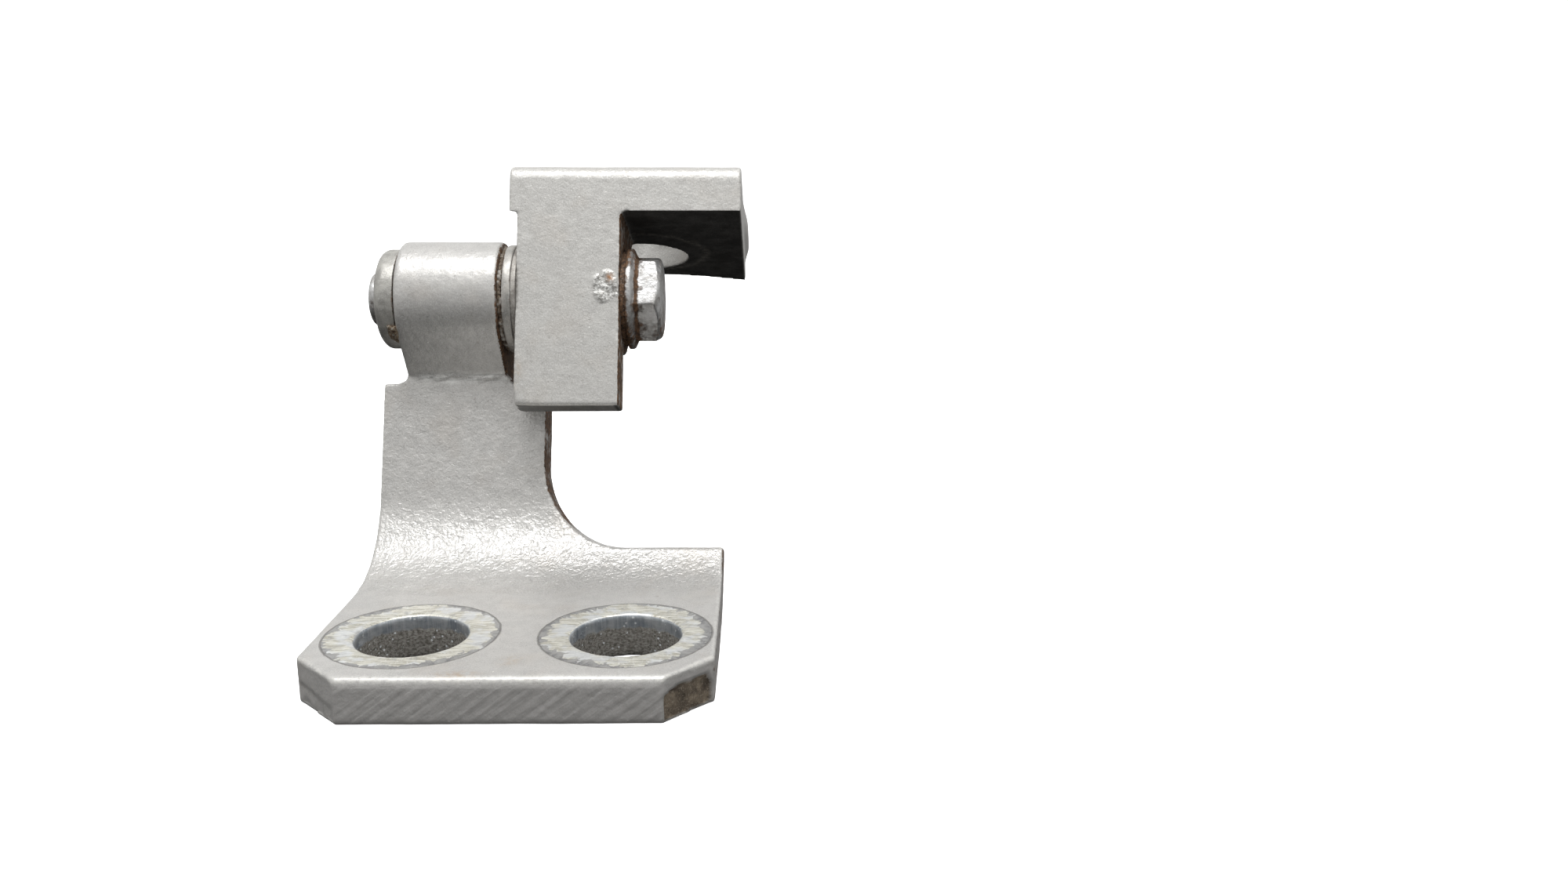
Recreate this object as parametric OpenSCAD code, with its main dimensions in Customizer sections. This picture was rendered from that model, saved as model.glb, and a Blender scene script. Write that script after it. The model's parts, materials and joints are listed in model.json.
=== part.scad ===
// Two-leaf swing hinge for a heavy cab door: a bent plate bracket with an eye,
// a forged door block with a bolt-on strap, and a sleeved bolt turning in flanged bushings.
// X runs along the pivot, +Y is the back, +Z is up. The origin is midway between
// the two bracket holes, on the underside of the base.

/* [Bracket base] */
// Thickness of the bracket plate
plate_t = 10.5; // [9:0.5:12]
// Width of the base
base_w = 90; // [84:1:110]
// Flat depth of the base, from its front edge to the start of the bend
base_flat = 52; // [48:1:60]
// Distance from the front edge to the row of holes
hole_setback = 24.5; // [22:0.5:28]
// Distance from the left edge to the first hole
hole_margin = 21.5; // [20:0.5:24]
// Distance between the two holes
hole_pitch = 48; // [45:1:60]
// Diameter of the two oversize holes
hole_d = 25; // [18:0.5:27]
// Width of the front left chamfer
chamfer_left_w = 11.5; // [6:0.5:14]
// Depth of the front left chamfer
chamfer_left_d = 12; // [6:0.5:14]
// Width of the front right chamfer
chamfer_right_w = 10.5; // [6:0.5:14]
// Depth of the front right chamfer
chamfer_right_d = 11; // [6:0.5:14]
// Radius of the worn top front edge
front_round = 1.8; // [0.5:0.1:3]

/* [Bracket leg] */
// Inside radius of the bend
bend_r = 27; // [22:1:32]
// Angle the plate is bent through
bend_a = 70; // [66:1:74]
// Angle round the bend at which the right wing is cut off
wing_a = 39.5; // [36:0.5:44]
// Radius of the cut between the wing and the leg
wing_fillet = 22; // [18:0.5:24]
// Width of the leg
leg_w = 43; // [42:0.5:44]
// Straight length of the leg, from the bend to its shoulder
leg_straight = 30; // [28:0.5:31]
// Radius in the two corners beside the neck
shoulder_r = 2.6; // [1:0.2:3]

/* [Eye] */
// Outside diameter of the eye
eye_d = 30; // [28:0.5:31]
// Length of the eye along the pivot
eye_len = 26.3; // [25.5:0.1:27]
// Distance from the leg's left edge to the eye
eye_inset = 6.2; // [5.5:0.1:6.5]
// Height of the pivot above the bend, along the leg
pivot_up = 52.3; // [51.5:0.1:54]
// Distance of the pivot in front of the leg's face
pivot_fwd = 2; // [1:0.1:3]
// Bevel round both ends of the eye
eye_bevel = 0.6; // [0.4:0.1:1.2]

/* [Door block] */
// Thickness of the strap
strap_t = 13; // [11:0.5:14]
// Width of the strap
strap_w = 60; // [58:1:70]
// Height of the strap's underside above the pivot
strap_lift = 20.3; // [20:0.1:22]
// Distance from the pivot back to the strap's rear corners
strap_reach = 59.5; // [56:0.5:64]
// Depth of the hollow in the strap's rear edge
rear_hollow = 7.5; // [3:0.5:9]
// Diameter of the strap's hole
strap_hole_d = 27; // [20:0.5:28]
// Distance from the pivot back to the strap's hole
strap_hole_back = 32; // [31:0.5:34]
// Distance of the block's front face before the pivot
block_front = 12.6; // [12:0.1:14]
// Radius of the block's front top edge
block_round = 4.5; // [2:0.5:6]
// Distance from the pivot down to the foot of the lug
lug_drop = 30.6; // [28:0.2:31]
// Thickness of the lug's foot, which stops against the leg
foot_t = 11; // [10:0.5:12]
// Outside radius of the lug behind the pivot
lug_boss_r = 15; // [14.5:0.5:16]
// Radius of the round relief on the lug's inner side
relief_r = 23.5; // [22:0.5:24]
// Depth of that relief
relief_t = 2.2; // [1.5:0.1:2.4]

/* [Pivot] */
// Diameter of the pivot bolt
bolt_d = 14; // [12:1:14]
// Width across the flats of the bolt head
bolt_af = 21; // [19:0.5:22]
// Outside diameter of the bolt's flange
bolt_flange_d = 26.6; // [25:0.2:28]
// Outside diameter of the sleeve
sleeve_d = 18; // [17:0.5:18]
// Outside diameter of the bushings
bushing_d = 21; // [20:0.5:22]
// Length of each bushing under its flange
bushing_len = 12; // [10:0.5:12.5]
// Outside diameter of the thrust washer
washer_d = 28.4; // [26:0.2:29]
// Outside diameter of the round nut
nut_d = 26.2; // [25:0.2:27]

/* [Hidden] */
$fn = 96;

paint = [0.72, 0.71, 0.69];
bronze = [0.62, 0.47, 0.26];
zinc = [0.70, 0.70, 0.71];
steel = [0.45, 0.44, 0.43];

// Clearances and small allowances
cut = 1;
side_gap = 0.1;
bolt_gap = 0.1;
running_gap = 0.05;
washer_gap = 0.3;

// Bracket layout
base_left = -(hole_margin + hole_pitch / 2);
front_y = -hole_setback;
bend_y = front_y + base_flat;
lean = 90 - bend_a;
leg_y = bend_y + bend_r * sin(bend_a);
leg_z = plate_t + bend_r * (1 - cos(bend_a));
wing_edge = bend_r * sin(wing_a - bend_a);
facet_foot = 2;
embed = 0.5;

// Stack along the pivot, from left to right
outer_flange_t = 0.6;
flange_t = 1.1;
inner_flange_d = 27.6;
outer_flange_d = 25;
nut_t = 5.2;
washer_t = 2.2;
lug_w = 26.7;
bolt_flange_t = 2.7;
head_t = 6.2;
bolt_end = 2.9;
eye_x0 = base_left + eye_inset;
eye_x1 = eye_x0 + eye_len;
nut_x1 = eye_x0 - outer_flange_t;
nut_x0 = nut_x1 - nut_t;
washer_x0 = eye_x1 + flange_t;
washer_x1 = washer_x0 + washer_t;
lug_x0 = washer_x1 + side_gap + flange_t;
lug_x1 = lug_x0 + lug_w;
strap_x0 = lug_x0 - relief_t;
bolt_x0 = lug_x1 + flange_t + side_gap;
bolt_x1 = bolt_x0 + bolt_flange_t;

// Hexagon: one corner points this far above the front
hex_turn = 49;
hex_cone = 1.2;
hex_crown = 1;

// Small blends and bevels
inner_corner_r = 1.4;
lug_back_r = 5;
thread_bevel = 0.7;
nut_round = 2.4;

// Weld
weld_leg = 1.5;
weld_back = 2.4;
weld_at = -54;
weld_span = 18;

// Places children with their Y and Z axes along the leaning leg, about the pivot line
module about_pivot() {
    translate([0, leg_y, leg_z])
        rotate([-lean, 0, 0])
            translate([0, -pivot_fwd, pivot_up])
                children();
}

// Extrudes a side profile, drawn as back and up, along X
module along_x(x0, x1) {
    translate([x0, 0, 0])
        rotate([90, 0, 90])
            linear_extrude(x1 - x0)
                children();
}

// A solid of revolution about the pivot: the profile is radius and X
module turned() {
    rotate([90, 0, 90])
        rotate_extrude()
            children();
}

// A bar that rounds a square edge running along X when it is taken away
module edge_rounder(x0, x1, r, back, up) {
    along_x(x0, x1)
        difference() {
            translate([min(0, back * cut), min(0, up * cut)])
                square([r + cut, r + cut]);
            translate([back < 0 ? r : 0, up < 0 ? r : 0])
                circle(r);
        }
}

function turn(v, a) = [v.x * cos(a) - v.y * sin(a), v.x * sin(a) + v.y * cos(a)];

// Point where a line from p touches the circle about c on the side given by s
function tangent(p, c, r, s) =
    let (d = norm(c - p), reach = sqrt(d * d - r * r))
    p + turn((c - p) / d, s * asin(r / d)) * reach;

module base_plate() {
    right = base_left + base_w;
    linear_extrude(plate_t)
        polygon([
            [base_left, bend_y],
            [base_left, front_y + chamfer_left_d],
            [base_left + chamfer_left_w, front_y],
            [right - chamfer_right_w, front_y],
            [right, front_y + chamfer_right_d],
            [right, bend_y]
        ]);
}

module bend() {
    translate([base_left, bend_y, plate_t + bend_r])
        rotate([0, 90, 0])
            rotate_extrude(angle = bend_a)
                translate([bend_r, 0])
                    square([plate_t, base_w]);
}

module leg() {
    translate([0, leg_y, leg_z])
        rotate([-lean, 0, 0])
            translate([base_left, 0, 0])
                cube([base_w, plate_t, leg_straight]);
}

// Everything above the wing and to the right of the leg, cut square to the leg
module wing_cutter() {
    leg_right = base_left + leg_w;
    reach = base_w + bend_r;
    depth = bend_r + plate_t + cut;
    translate([0, bend_y, plate_t + bend_r])
        rotate([bend_a, 0, 0])
            translate([0, 0, -depth])
                linear_extrude(depth + cut)
                    difference() {
                        translate([leg_right, wing_edge])
                            square(reach);
                        difference() {
                            translate([leg_right - cut, wing_edge - cut])
                                square(wing_fillet + cut);
                            translate([leg_right + wing_fillet, wing_edge + wing_fillet])
                                circle(wing_fillet);
                        }
                    }
}

module neck() {
    shoulder_z = leg_straight - pivot_up;
    front_foot = [pivot_fwd, shoulder_z + facet_foot];
    back_foot = [pivot_fwd + plate_t, shoulder_z];
    along_x(eye_x0, eye_x1)
        polygon([
            [0, 0],
            tangent(front_foot, [0, 0], eye_d / 2, 1),
            front_foot,
            [pivot_fwd, shoulder_z - cut],
            [pivot_fwd + plate_t, shoulder_z - cut],
            back_foot,
            tangent(back_foot, [0, 0], eye_d / 2, -1)
        ]);
}

module eye() {
    r = eye_d / 2;
    turned()
        polygon([
            [0, eye_x0],
            [r - eye_bevel, eye_x0],
            [r, eye_x0 + eye_bevel],
            [r, eye_x1 - eye_bevel],
            [r - eye_bevel, eye_x1],
            [0, eye_x1]
        ]);
}

// Rounded inside corners between the shoulder and the neck, set a little into both
module shoulder_fillets() {
    size = shoulder_r + embed;
    for (side = [[eye_x0, 0], [eye_x1, 1]])
        translate([side[0], pivot_fwd, leg_straight - pivot_up])
            mirror([1 - side[1], 0, 0])
                rotate([90, 0, 0])
                    translate([0, 0, -plate_t])
                        linear_extrude(plate_t)
                            difference() {
                                translate([-embed, -embed])
                                    square(size);
                                translate([shoulder_r, shoulder_r])
                                    circle(shoulder_r);
                            }
}

module frame_bracket() {
    color(paint)
        difference() {
            union() {
                base_plate();
                difference() {
                    union() {
                        bend();
                        leg();
                    }
                    wing_cutter();
                }
                about_pivot() {
                    neck();
                    eye();
                    shoulder_fillets();
                }
            }
            for (side = [-1, 1])
                translate([side * hole_pitch / 2, 0, -cut])
                    cylinder(d = hole_d, h = plate_t + 2 * cut);
            translate([0, front_y, plate_t - front_round])
                edge_rounder(base_left - cut, base_left + base_w + cut, front_round, -1, 1);
            about_pivot()
                rotate([0, 90, 0])
                    translate([0, 0, eye_x0 - cut])
                        cylinder(d = bushing_d, h = eye_len + 2 * cut);
        }
}

// Side view of the lug: straight front, stop foot, round back below and flat back above
module lug_profile() {
    translate([-block_front, -lug_drop])
        square([foot_t, lug_drop]);
    intersection() {
        circle(lug_boss_r);
        translate([-block_front, -lug_boss_r])
            square(2 * lug_boss_r);
    }
    translate([-block_front, 0])
        square([block_front + lug_boss_r, strap_lift + strap_t / 2]);
    translate([lug_boss_r, strap_lift - lug_back_r])
        difference() {
            square([lug_back_r, lug_back_r + strap_t / 2]);
            translate([lug_back_r, 0])
                circle(lug_back_r);
        }
}

// Plan of the strap, with a hollow rear edge
module strap_plan() {
    half = strap_w / 2;
    hollow_r = (half * half + rear_hollow * rear_hollow) / (2 * rear_hollow);
    difference() {
        translate([-half, -block_front])
            square([strap_w, block_front + strap_reach]);
        translate([0, strap_reach - rear_hollow + hollow_r])
            circle(hollow_r, $fn = 180);
    }
}

module door_block() {
    strap_mid = strap_x0 + strap_w / 2;
    color(paint)
        about_pivot()
            difference() {
                union() {
                    along_x(lug_x0, lug_x1)
                        lug_profile();
                    along_x(strap_x0, lug_x0 + cut)
                        difference() {
                            lug_profile();
                            circle(relief_r);
                            translate([-relief_r, -lug_drop - cut])
                                square([2 * relief_r, lug_drop + cut]);
                        }
                    difference() {
                        translate([strap_mid, 0, strap_lift])
                            linear_extrude(strap_t)
                                strap_plan();
                        along_x(strap_x0 - cut, lug_x0)
                            circle(relief_r);
                    }
                    translate([lug_x1, -block_front, strap_lift - inner_corner_r])
                        rotate([90, 0, 0])
                            mirror([0, 0, 1])
                                linear_extrude(block_front + lug_boss_r)
                                    difference() {
                                        square(inner_corner_r);
                                        translate([inner_corner_r, 0])
                                            circle(inner_corner_r);
                                    }
                }
                rotate([0, 90, 0])
                    translate([0, 0, lug_x0 - cut])
                        cylinder(d = bushing_d, h = lug_w + 2 * cut);
                translate([strap_mid, strap_hole_back, strap_lift - cut])
                    cylinder(d = strap_hole_d, h = strap_t + 2 * cut);
                translate([0, -block_front, strap_lift + strap_t - block_round])
                    edge_rounder(strap_x0 - cut, strap_x0 + strap_w + cut, block_round, -1, 1);
            }
}

// Flanged bushing: the flange starts at x and lies on the side s, the barrel on the other
module flanged_bushing(x, s, flange_d, t = flange_t) {
    color(bronze)
        about_pivot()
            turned() {
                translate([sleeve_d / 2 + running_gap, min(x, x + s * t)])
                    square([(flange_d - sleeve_d) / 2 - running_gap, t]);
                translate([sleeve_d / 2 + running_gap, min(x, x - s * bushing_len)])
                    square([(bushing_d - sleeve_d) / 2 - running_gap, bushing_len]);
            }
}

module knuckle_bushing_outer() {
    flanged_bushing(eye_x0, -1, outer_flange_d, outer_flange_t);
}

module knuckle_bushing_inner() {
    flanged_bushing(eye_x1, 1, inner_flange_d);
}

module lug_bushing_inner() {
    flanged_bushing(lug_x0, -1, inner_flange_d);
}

module lug_bushing_outer() {
    flanged_bushing(lug_x1, 1, outer_flange_d);
}

module thrust_washer() {
    color(paint)
        about_pivot()
            turned()
                translate([sleeve_d / 2 + washer_gap, washer_x0])
                    square([(washer_d - sleeve_d) / 2 - washer_gap, washer_t]);
}

module pivot_sleeve() {
    color(steel)
        about_pivot()
            turned()
                translate([bolt_d / 2 + bolt_gap, nut_x1])
                    square([(sleeve_d - bolt_d) / 2 - bolt_gap, bolt_x0 - nut_x1]);
}

module pivot_bolt() {
    r = bolt_d / 2;
    flange_r = bolt_flange_d / 2;
    hex_r = bolt_af / 2 / cos(30);
    color(zinc)
        about_pivot() {
            turned()
                polygon([
                    [0, nut_x0 - bolt_end],
                    [r - thread_bevel, nut_x0 - bolt_end],
                    [r, nut_x0 - bolt_end + thread_bevel],
                    [r, bolt_x0],
                    [flange_r, bolt_x0],
                    [flange_r, bolt_x0 + bolt_flange_t / 2],
                    [bolt_af / 2, bolt_x1],
                    [0, bolt_x1]
                ]);
            intersection() {
                translate([bolt_x1 - hex_cone, 0, 0])
                    rotate([0, 90, 0])
                        rotate([0, 0, hex_turn])
                            cylinder(r = hex_r, h = head_t + hex_cone, $fn = 6);
                turned()
                    polygon([
                        [0, bolt_x1 - hex_cone],
                        [hex_r + cut, bolt_x1 - hex_cone],
                        [hex_r + cut, bolt_x1 + head_t - 2 * hex_crown],
                        [bolt_af / 2 - hex_crown, bolt_x1 + head_t],
                        [0, bolt_x1 + head_t]
                    ]);
            }
        }
}

module round_nut() {
    r = nut_d / 2;
    color(paint)
        about_pivot()
            turned() {
                translate([bolt_d / 2, nut_x0])
                    square([r - nut_round - bolt_d / 2, nut_t]);
                translate([bolt_d / 2, nut_x0 + nut_round])
                    square([r - bolt_d / 2, nut_t - nut_round]);
                translate([r - nut_round, nut_x0 + nut_round])
                    intersection() {
                        circle(nut_round);
                        translate([0, -nut_round])
                            square(nut_round);
                    }
            }
}

// Short bead between the nut's rim and the end of the eye
module nut_tack_weld() {
    r = nut_d / 2;
    color(steel)
        about_pivot()
            rotate([90, 0, 90])
                rotate([0, 0, 180 - weld_at - weld_span / 2])
                    rotate_extrude(angle = weld_span)
                        polygon([[r, eye_x0], [r + weld_leg, eye_x0], [r, eye_x0 - weld_back]]);
}

frame_bracket();
door_block();
knuckle_bushing_outer();
knuckle_bushing_inner();
thrust_washer();
lug_bushing_inner();
lug_bushing_outer();
pivot_sleeve();
pivot_bolt();
round_nut();
nut_tack_weld();
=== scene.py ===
"""Door hinge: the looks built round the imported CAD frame. Lengths in the helpers are in millimetres."""

import json
import math

import bmesh
import bpy
import numpy as np
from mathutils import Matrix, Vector


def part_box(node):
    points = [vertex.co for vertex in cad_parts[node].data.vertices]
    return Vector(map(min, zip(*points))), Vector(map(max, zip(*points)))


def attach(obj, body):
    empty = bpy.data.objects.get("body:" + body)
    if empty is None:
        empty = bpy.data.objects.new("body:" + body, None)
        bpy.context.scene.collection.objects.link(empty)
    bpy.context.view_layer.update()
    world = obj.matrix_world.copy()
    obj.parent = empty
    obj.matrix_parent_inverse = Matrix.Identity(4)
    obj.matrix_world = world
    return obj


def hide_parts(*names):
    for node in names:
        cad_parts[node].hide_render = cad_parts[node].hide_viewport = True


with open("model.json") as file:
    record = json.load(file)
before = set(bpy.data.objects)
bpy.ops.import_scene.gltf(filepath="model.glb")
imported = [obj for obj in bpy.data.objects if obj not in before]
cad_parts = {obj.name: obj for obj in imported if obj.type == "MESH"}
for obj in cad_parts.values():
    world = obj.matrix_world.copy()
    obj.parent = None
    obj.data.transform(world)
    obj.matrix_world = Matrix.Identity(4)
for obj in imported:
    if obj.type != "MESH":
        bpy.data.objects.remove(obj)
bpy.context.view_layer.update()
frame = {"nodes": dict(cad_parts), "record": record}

MM = 0.001
# how far the leg leans back, and so how far the door block is tipped at rest
LEAN = math.radians(20)
# the share of the way to its neighbours' mean that a point moves in one round of softening
SMOOTH_SHARE = 0.5

# camera, in metres and degrees
CAMERA_AT = (0.05549, -0.26898, 0.11604)
CAMERA_TURN = (77.196, -0.068, -0.845)
CAMERA_LENS = 29.075

# light: the room's brightness from straight down to straight up, its share towards negative Y,
# and the share of blue in it
ROOM_STOPS = [(0.0, 0.02), (0.22, 0.04), (0.38, 0.165), (0.52, 0.54), (0.66, 0.84), (0.8, 0.86), (1.0, 0.9)]
ROOM_FRONT_SHADE = 0.72
ROOM_WARMTH = 0.985
LAMP_AT = (0.0, -0.10, 0.75)
LAMP_AIM = (0.0, 0.04, 0.05)
LAMP_SIZE = (0.5, 0.28)
LAMP_POWER = 3.0
# the white floor and walls, in metres
SHEET_REACH = 3.0
SHEET_TALL = 4.0


def box_mm(node):
    low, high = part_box(node)
    return np.array(low) / MM, np.array(high) / MM


def mount(name):
    return next(m for m in frame["record"]["mounts"] if m["name"] == name)


BASE_LOW, BASE_HIGH = box_mm("frame_bracket")
SLEEVE_LOW, SLEEVE_HIGH = box_mm("pivot_sleeve")
PIVOT = (SLEEVE_LOW + SLEEVE_HIGH) / 2
PIVOT[0] = 0
PLATE_T = 10.5
# where the flat base ends and the bend begins
BEND_Y = BASE_LOW[1] + 52
# base holes, and the rings that washers have worn round them
HOLE_X = mount("base_bolts")["dims"]["spacing_x_mm"] / 2
HOLE_R = mount("base_bolts")["dims"]["hole_r_mm"]
RING_R = 19.6
# the cut front corners of the base, along X
CHAMFER_RIGHT = BASE_HIGH[0] - 10.5
CHAMFER_LEFT = BASE_LOW[0] + 11.5
# the ends of the lug along X, and heights about the pivot: its sides are free of the strap
# below the first, and its foot is below the second
LUG_LEFT = box_mm("lug_bushing_inner")[0][0] + 1.1
LUG_RIGHT = box_mm("lug_bushing_outer")[1][0] - 1.1
LUG_SIDE_TOP = 21.0
LUG_FOOT = -28.0
# the rough line where the neck's facet leaves the leg: its height about the pivot,
# and how far back from the pivot the front surfaces lie that may carry it
NECK_LINE = -20.6
NECK_FRONT = 3.5
# how far the saw marks on the base's front climb for each millimetre along X
SAW_SLANT = 0.75
# the middle of the strap's hole, along X and behind the pivot
STRAP_HOLE_X = (LUG_LEFT + LUG_RIGHT) / 2 + 14.45
STRAP_HOLE_Y = 27.5


# ---------------------------------------------------------------- noise and meshes


def hashed(cell, seed):
    """A repeatable value from -1 to 1 for each whole-numbered cell, by mixing its bits."""
    n = cell[:, 0] * 374761393 + cell[:, 1] * 668265263 + cell[:, 2] * 1103515245
    n = (n + seed * 1274126177) & 0xFFFFFFFF
    n = ((n ^ (n >> 13)) * 1274126177) & 0xFFFFFFFF
    n = ((n ^ (n >> 16)) * 2246822519) & 0xFFFFFFFF
    return ((n ^ (n >> 15)) & 0xFFFF) / 32767.5 - 1


def lumps(p, size, seed):
    """Smooth noise from about -1 to 1 at the points, with features about size apart."""
    q = p / size + seed * 17.31
    cell = np.floor(q).astype(np.int64)
    f = q - cell
    f = f * f * (3 - 2 * f)
    total = np.zeros(len(p))
    for corner in np.ndindex(2, 2, 2):
        c = np.array(corner)
        share = np.prod(np.where(c, f, 1 - f), axis=1)
        total += share * hashed(cell + c, seed)
    return total


def step(value, low, high):
    """0 below low and 1 above high, with a smooth rise between them."""
    t = np.clip((value - low) / (high - low), 0, 1)
    return t * t * (3 - 2 * t)


def near(value, middle, width):
    """A bell, 1 at the middle and about a third at a width away from it."""
    return np.exp(-(((value - middle) / width) ** 2))


def leaning(p):
    """The points seen from the pivot, with the leg upright: X along the pivot, Y back, Z up."""
    r = p - PIVOT
    c, s = math.cos(LEAN), math.sin(LEAN)
    return np.stack([p[:, 0], r[:, 1] * c - r[:, 2] * s, r[:, 1] * s + r[:, 2] * c], axis=1)


class Skin:
    """A finely meshed copy of a CAD node, whose surface can be softened, pushed in and out, and masked."""

    def __init__(self, node, name, voxel, body, slot):
        mesh = frame["nodes"][node].data.copy()
        mesh.materials.clear()
        clean = bmesh.new()
        clean.from_mesh(mesh)
        bmesh.ops.remove_doubles(clean, verts=clean.verts, dist=1e-6)
        clean.to_mesh(mesh)
        clean.free()
        self.obj = bpy.data.objects.new(name, mesh)
        bpy.context.scene.collection.objects.link(self.obj)
        remesh = self.obj.modifiers.new("remesh", "REMESH")
        remesh.mode = "VOXEL"
        remesh.voxel_size = voxel * MM
        view = bpy.context.evaluated_depsgraph_get()
        fine = bpy.data.meshes.new_from_object(self.obj.evaluated_get(view))
        self.obj.modifiers.clear()
        self.obj.data = fine
        self.mesh = fine
        self.mesh.name = name
        count = len(fine.vertices)
        flat = np.zeros(count * 3)
        fine.vertices.foreach_get("co", flat)
        self.p = flat.reshape(-1, 3) / MM
        ends = np.zeros(len(fine.edges) * 2, np.int64)
        fine.edges.foreach_get("vertices", ends)
        self.ends = ends.reshape(-1, 2)
        self.degree = np.bincount(self.ends.ravel(), minlength=count).astype(float)
        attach(self.obj, body)
        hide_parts(node)

    def mean_of_neighbours(self, values):
        a, b = self.ends[:, 0], self.ends[:, 1]
        total = np.zeros_like(values)
        np.add.at(total, a, values[b])
        np.add.at(total, b, values[a])
        return (total.T / self.degree).T

    def soften(self, rounds, where=1.0):
        for _ in range(rounds):
            share = np.broadcast_to(np.asarray(where, float) * SMOOTH_SHARE, len(self.p))
            self.p += share[:, None] * (self.mean_of_neighbours(self.p) - self.p)
        self.settle()

    def off_axis(self):
        """Each point's distance from the pivot's axis."""
        return np.hypot(self.p[:, 1] - PIVOT[1], self.p[:, 2] - PIVOT[2])

    def settle(self):
        self.mesh.vertices.foreach_set("co", (self.p * MM).ravel())
        self.mesh.update()
        flat = np.zeros(len(self.p) * 3, np.float32)
        self.mesh.vertex_normals.foreach_get("vector", flat)
        self.n = flat.reshape(-1, 3).astype(float)

    def push(self, height):
        self.p += self.n * np.asarray(height)[:, None]
        self.settle()

    def bend_of_surface(self, rounds=3):
        """Positive on ridges and edges, negative in hollows."""
        c = -np.einsum("ij,ij->i", self.mean_of_neighbours(self.p) - self.p, self.n)
        for _ in range(rounds):
            c = 0.5 * c + 0.5 * self.mean_of_neighbours(c)
        return c

    def mark(self, name, values):
        layer = self.mesh.attributes.new(name, "FLOAT", "POINT")
        layer.data.foreach_set("value", np.asarray(values, np.float32))

    def finish(self, material):
        self.mesh.polygons.foreach_set("use_smooth", np.ones(len(self.mesh.polygons), bool))
        self.mesh.materials.append(material)
        self.mesh.update()
        return self.obj


# ---------------------------------------------------------------- shader graphs


class Graph:
    """A material's nodes, with positions read in millimetres."""

    def __init__(self, name):
        self.material = bpy.data.materials.new(name)
        self.material.use_nodes = True
        self.tree = self.material.node_tree
        self.shader = self.tree.nodes["Principled BSDF"]
        coordinates = self.tree.nodes.new("ShaderNodeTexCoord")
        self.place = self.vector("MULTIPLY", coordinates.outputs["Object"], (1000, 1000, 1000))
        parts = self.tree.nodes.new("ShaderNodeSeparateXYZ")
        self.link(self.place, parts.inputs[0])
        self.x, self.y, self.z = parts.outputs

    def link(self, source, target):
        if isinstance(source, bpy.types.NodeSocket):
            self.tree.links.new(source, target)
        else:
            target.default_value = source

    def vector(self, operation, *values):
        node = self.tree.nodes.new("ShaderNodeVectorMath")
        node.operation = operation
        for value, target in zip(values, node.inputs):
            self.link(value, target)
        return node.outputs["Value" if operation in ("LENGTH", "DOT_PRODUCT") else "Vector"]

    def join(self, x, y, z):
        node = self.tree.nodes.new("ShaderNodeCombineXYZ")
        for value, target in zip((x, y, z), node.inputs):
            self.link(value, target)
        return node.outputs[0]

    def math(self, operation, *values):
        node = self.tree.nodes.new("ShaderNodeMath")
        node.operation = operation
        for value, target in zip(values, node.inputs):
            self.link(value, target)
        return node.outputs[0]

    def times(self, *values):
        result = values[0]
        for value in values[1:]:
            result = self.math("MULTIPLY", result, value)
        return result

    def plus(self, a, b):
        return self.math("ADD", a, b)

    def span(self, value, low, high, to_low=0.0, to_high=1.0):
        node = self.tree.nodes.new("ShaderNodeMapRange")
        node.interpolation_type = "SMOOTHSTEP"
        for source, target in zip((value, low, high, to_low, to_high), node.inputs):
            self.link(source, target)
        return node.outputs[0]

    def noise(self, size, detail=2.0, place=None, distortion=0.0):
        node = self.tree.nodes.new("ShaderNodeTexNoise")
        self.link(place or self.place, node.inputs["Vector"])
        node.inputs["Scale"].default_value = 1 / size
        node.inputs["Detail"].default_value = detail
        node.inputs["Distortion"].default_value = distortion
        return node.outputs["Fac"]

    def patches(self, size, detail, low, high, most=1.0):
        """Noise faded in between two of its values, up to a largest share."""
        return self.span(self.noise(size, detail), low, high, 0.0, most)

    def off_middle(self, value, amount):
        """Turns noise from 0 to 1 into an offset of up to half the amount either way."""
        return self.times(self.math("SUBTRACT", value, 0.5), amount)

    def stretched(self, size, along, stretch, detail=2.0):
        """Noise drawn out along one axis."""
        scale = [1.0, 1.0, 1.0]
        scale[along] = 1 / stretch
        return self.noise(size, detail, self.vector("MULTIPLY", self.place, scale))

    def cells(self, size, place=None):
        node = self.tree.nodes.new("ShaderNodeTexVoronoi")
        self.link(place or self.place, node.inputs["Vector"])
        node.inputs["Scale"].default_value = 1 / size
        return node.outputs["Distance"]

    def mask(self, name):
        node = self.tree.nodes.new("ShaderNodeAttribute")
        node.attribute_name = name
        return node.outputs["Fac"]

    def mix(self, share, a, b):
        node = self.tree.nodes.new("ShaderNodeMix")
        node.data_type = "RGBA"
        self.link(share, node.inputs[0])
        for value, target in ((a, node.inputs[6]), (b, node.inputs[7])):
            if isinstance(value, tuple) and len(value) == 3:
                value = value + (1.0,)
            self.link(value, target)
        return node.outputs[2]

    def blend(self, share, a, b):
        """A plain number between a and b."""
        node = self.tree.nodes.new("ShaderNodeMix")
        self.link(share, node.inputs[0])
        self.link(a, node.inputs[2])
        self.link(b, node.inputs[3])
        return node.outputs[0]

    def larger(self, a, b):
        return self.math("MAXIMUM", a, b)

    def bump(self, height, strength, distance):
        node = self.tree.nodes.new("ShaderNodeBump")
        node.inputs["Strength"].default_value = strength
        node.inputs["Distance"].default_value = distance * MM
        self.link(height, node.inputs["Height"])
        return node.outputs["Normal"]

    def set(self, **inputs):
        for name, value in inputs.items():
            if isinstance(value, tuple) and len(value) == 3:
                value = value + (1.0,)
            self.link(value, self.shader.inputs[name.replace("_", " ")])
        return self.material


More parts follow.
